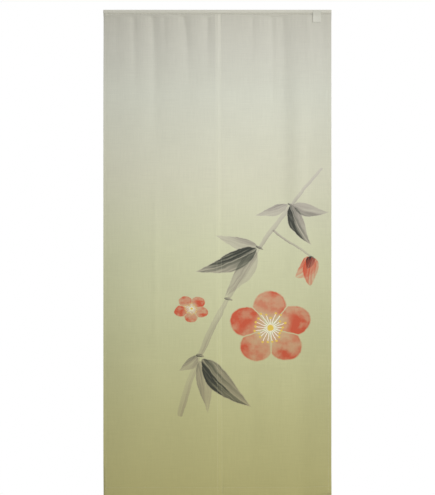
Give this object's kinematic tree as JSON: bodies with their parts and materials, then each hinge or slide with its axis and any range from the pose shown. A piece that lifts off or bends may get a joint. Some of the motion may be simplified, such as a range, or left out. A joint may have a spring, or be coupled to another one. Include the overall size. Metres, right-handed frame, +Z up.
{
  "type": "noren curtain",
  "caption": "Long noren curtain in thin cloth: side-by-side hemmed panels with a slit between them, hung from a rod casing along the top, with a small blank label sewn on.",
  "frame": {"origin": "middle of the rod casing's bore, halfway across the curtain", "axes": "+X to the right seen from the front, -Y towards the viewer in front, +Z up along the hanging cloth"},
  "size_m": [0.842, 0.0187, 1.8002],
  "materials": {
    "dyed_cloth": "matte plain-weave polyester, shaded from pale grey to yellow-green",
    "casing_cloth": "matte plain-weave polyester, pale grey",
    "label_cloth": "smooth pale grey label tape"
  },
  "bodies": {
    "root": {"panel_left": "dyed_cloth", "panel_right": "dyed_cloth", "rod_casing": "casing_cloth", "care_label": "label_cloth"}
  },
  "joints": []
}
